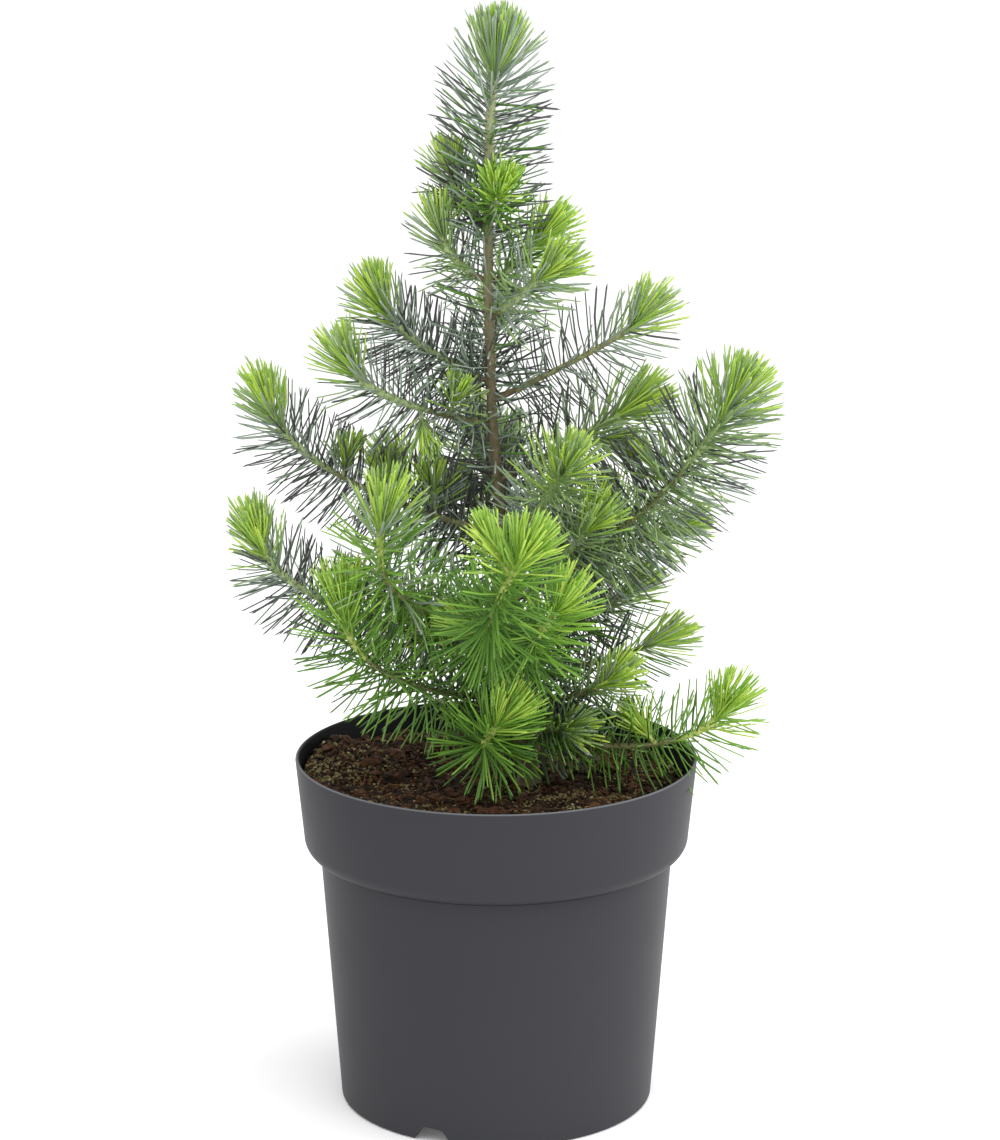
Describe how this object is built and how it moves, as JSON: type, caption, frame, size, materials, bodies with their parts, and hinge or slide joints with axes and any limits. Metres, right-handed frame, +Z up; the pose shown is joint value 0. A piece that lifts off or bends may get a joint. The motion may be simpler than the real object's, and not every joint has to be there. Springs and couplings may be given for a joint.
{
  "type": "potted stone pine",
  "caption": "Young stone pine with blue-green juvenile needles and lime shoot tips, standing in soil in a round dark grey plastic nursery pot with a deep collar.",
  "frame": {"origin": "on the pot's axis, at the flat middle of its underside", "axes": "+Z up along the pot's axis; -Y towards the viewer of the picture, +X to the right in it"},
  "size_m": [0.2587, 0.2123, 0.5259],
  "materials": {
    "pot": "satin",
    "soil": "rough",
    "bark": "rough",
    "needles": "matte"
  },
  "bodies": {
    "root": {"pot": "pot", "soil": "soil", "trunk": "bark", "bough_right_high": "bark", "bough_right_middle": "bark", "bough_back_left_high": "bark", "bough_back_right_high": "bark", "bough_left_far": "bark", "bough_front_right": "bark", "bough_right_far": "bark", "bough_back_middle": "bark", "bough_front_right_small": "bark", "bough_right_under": "bark", "bough_front_left": "bark", "bough_front_middle": "bark", "bough_right_short": "bark", "bough_left_low": "bark", "bough_front_small": "bark", "bough_back_right": "bark", "bough_back_left": "bark", "bough_right_low": "bark", "bough_front_left_low": "bark", "bough_back_low": "bark", "bough_front_star": "bark", "bough_over_rim": "bark", "needles_trunk": "needles", "needles_leader": "needles", "needles_top_left": "needles", "needles_top_front": "needles", "needles_upper_left": "needles", "needles_upper_right": "needles", "needles_upper_front": "needles", "needles_upper_back": "needles", "needles_left_high": "needles", "needles_left_middle": "needles", "needles_right_high": "needles", "needles_right_middle": "needles", "needles_back_left_high": "needles", "needles_back_right_high": "needles", "needles_left_far": "needles", "needles_front_right": "needles", "needles_right_far": "needles", "needles_back_middle": "needles", "needles_front_right_small": "needles", "needles_right_under": "needles", "needles_front_left": "needles", "needles_front_middle": "needles", "needles_right_short": "needles", "needles_left_low": "needles", "needles_front_small": "needles", "needles_back_right": "needles", "needles_back_left": "needles", "needles_right_low": "needles", "needles_front_left_low": "needles", "needles_front_right_low": "needles", "needles_back_low": "needles", "needles_front_star": "needles", "needles_foot_right": "needles", "needles_over_rim": "needles"}
  },
  "joints": []
}
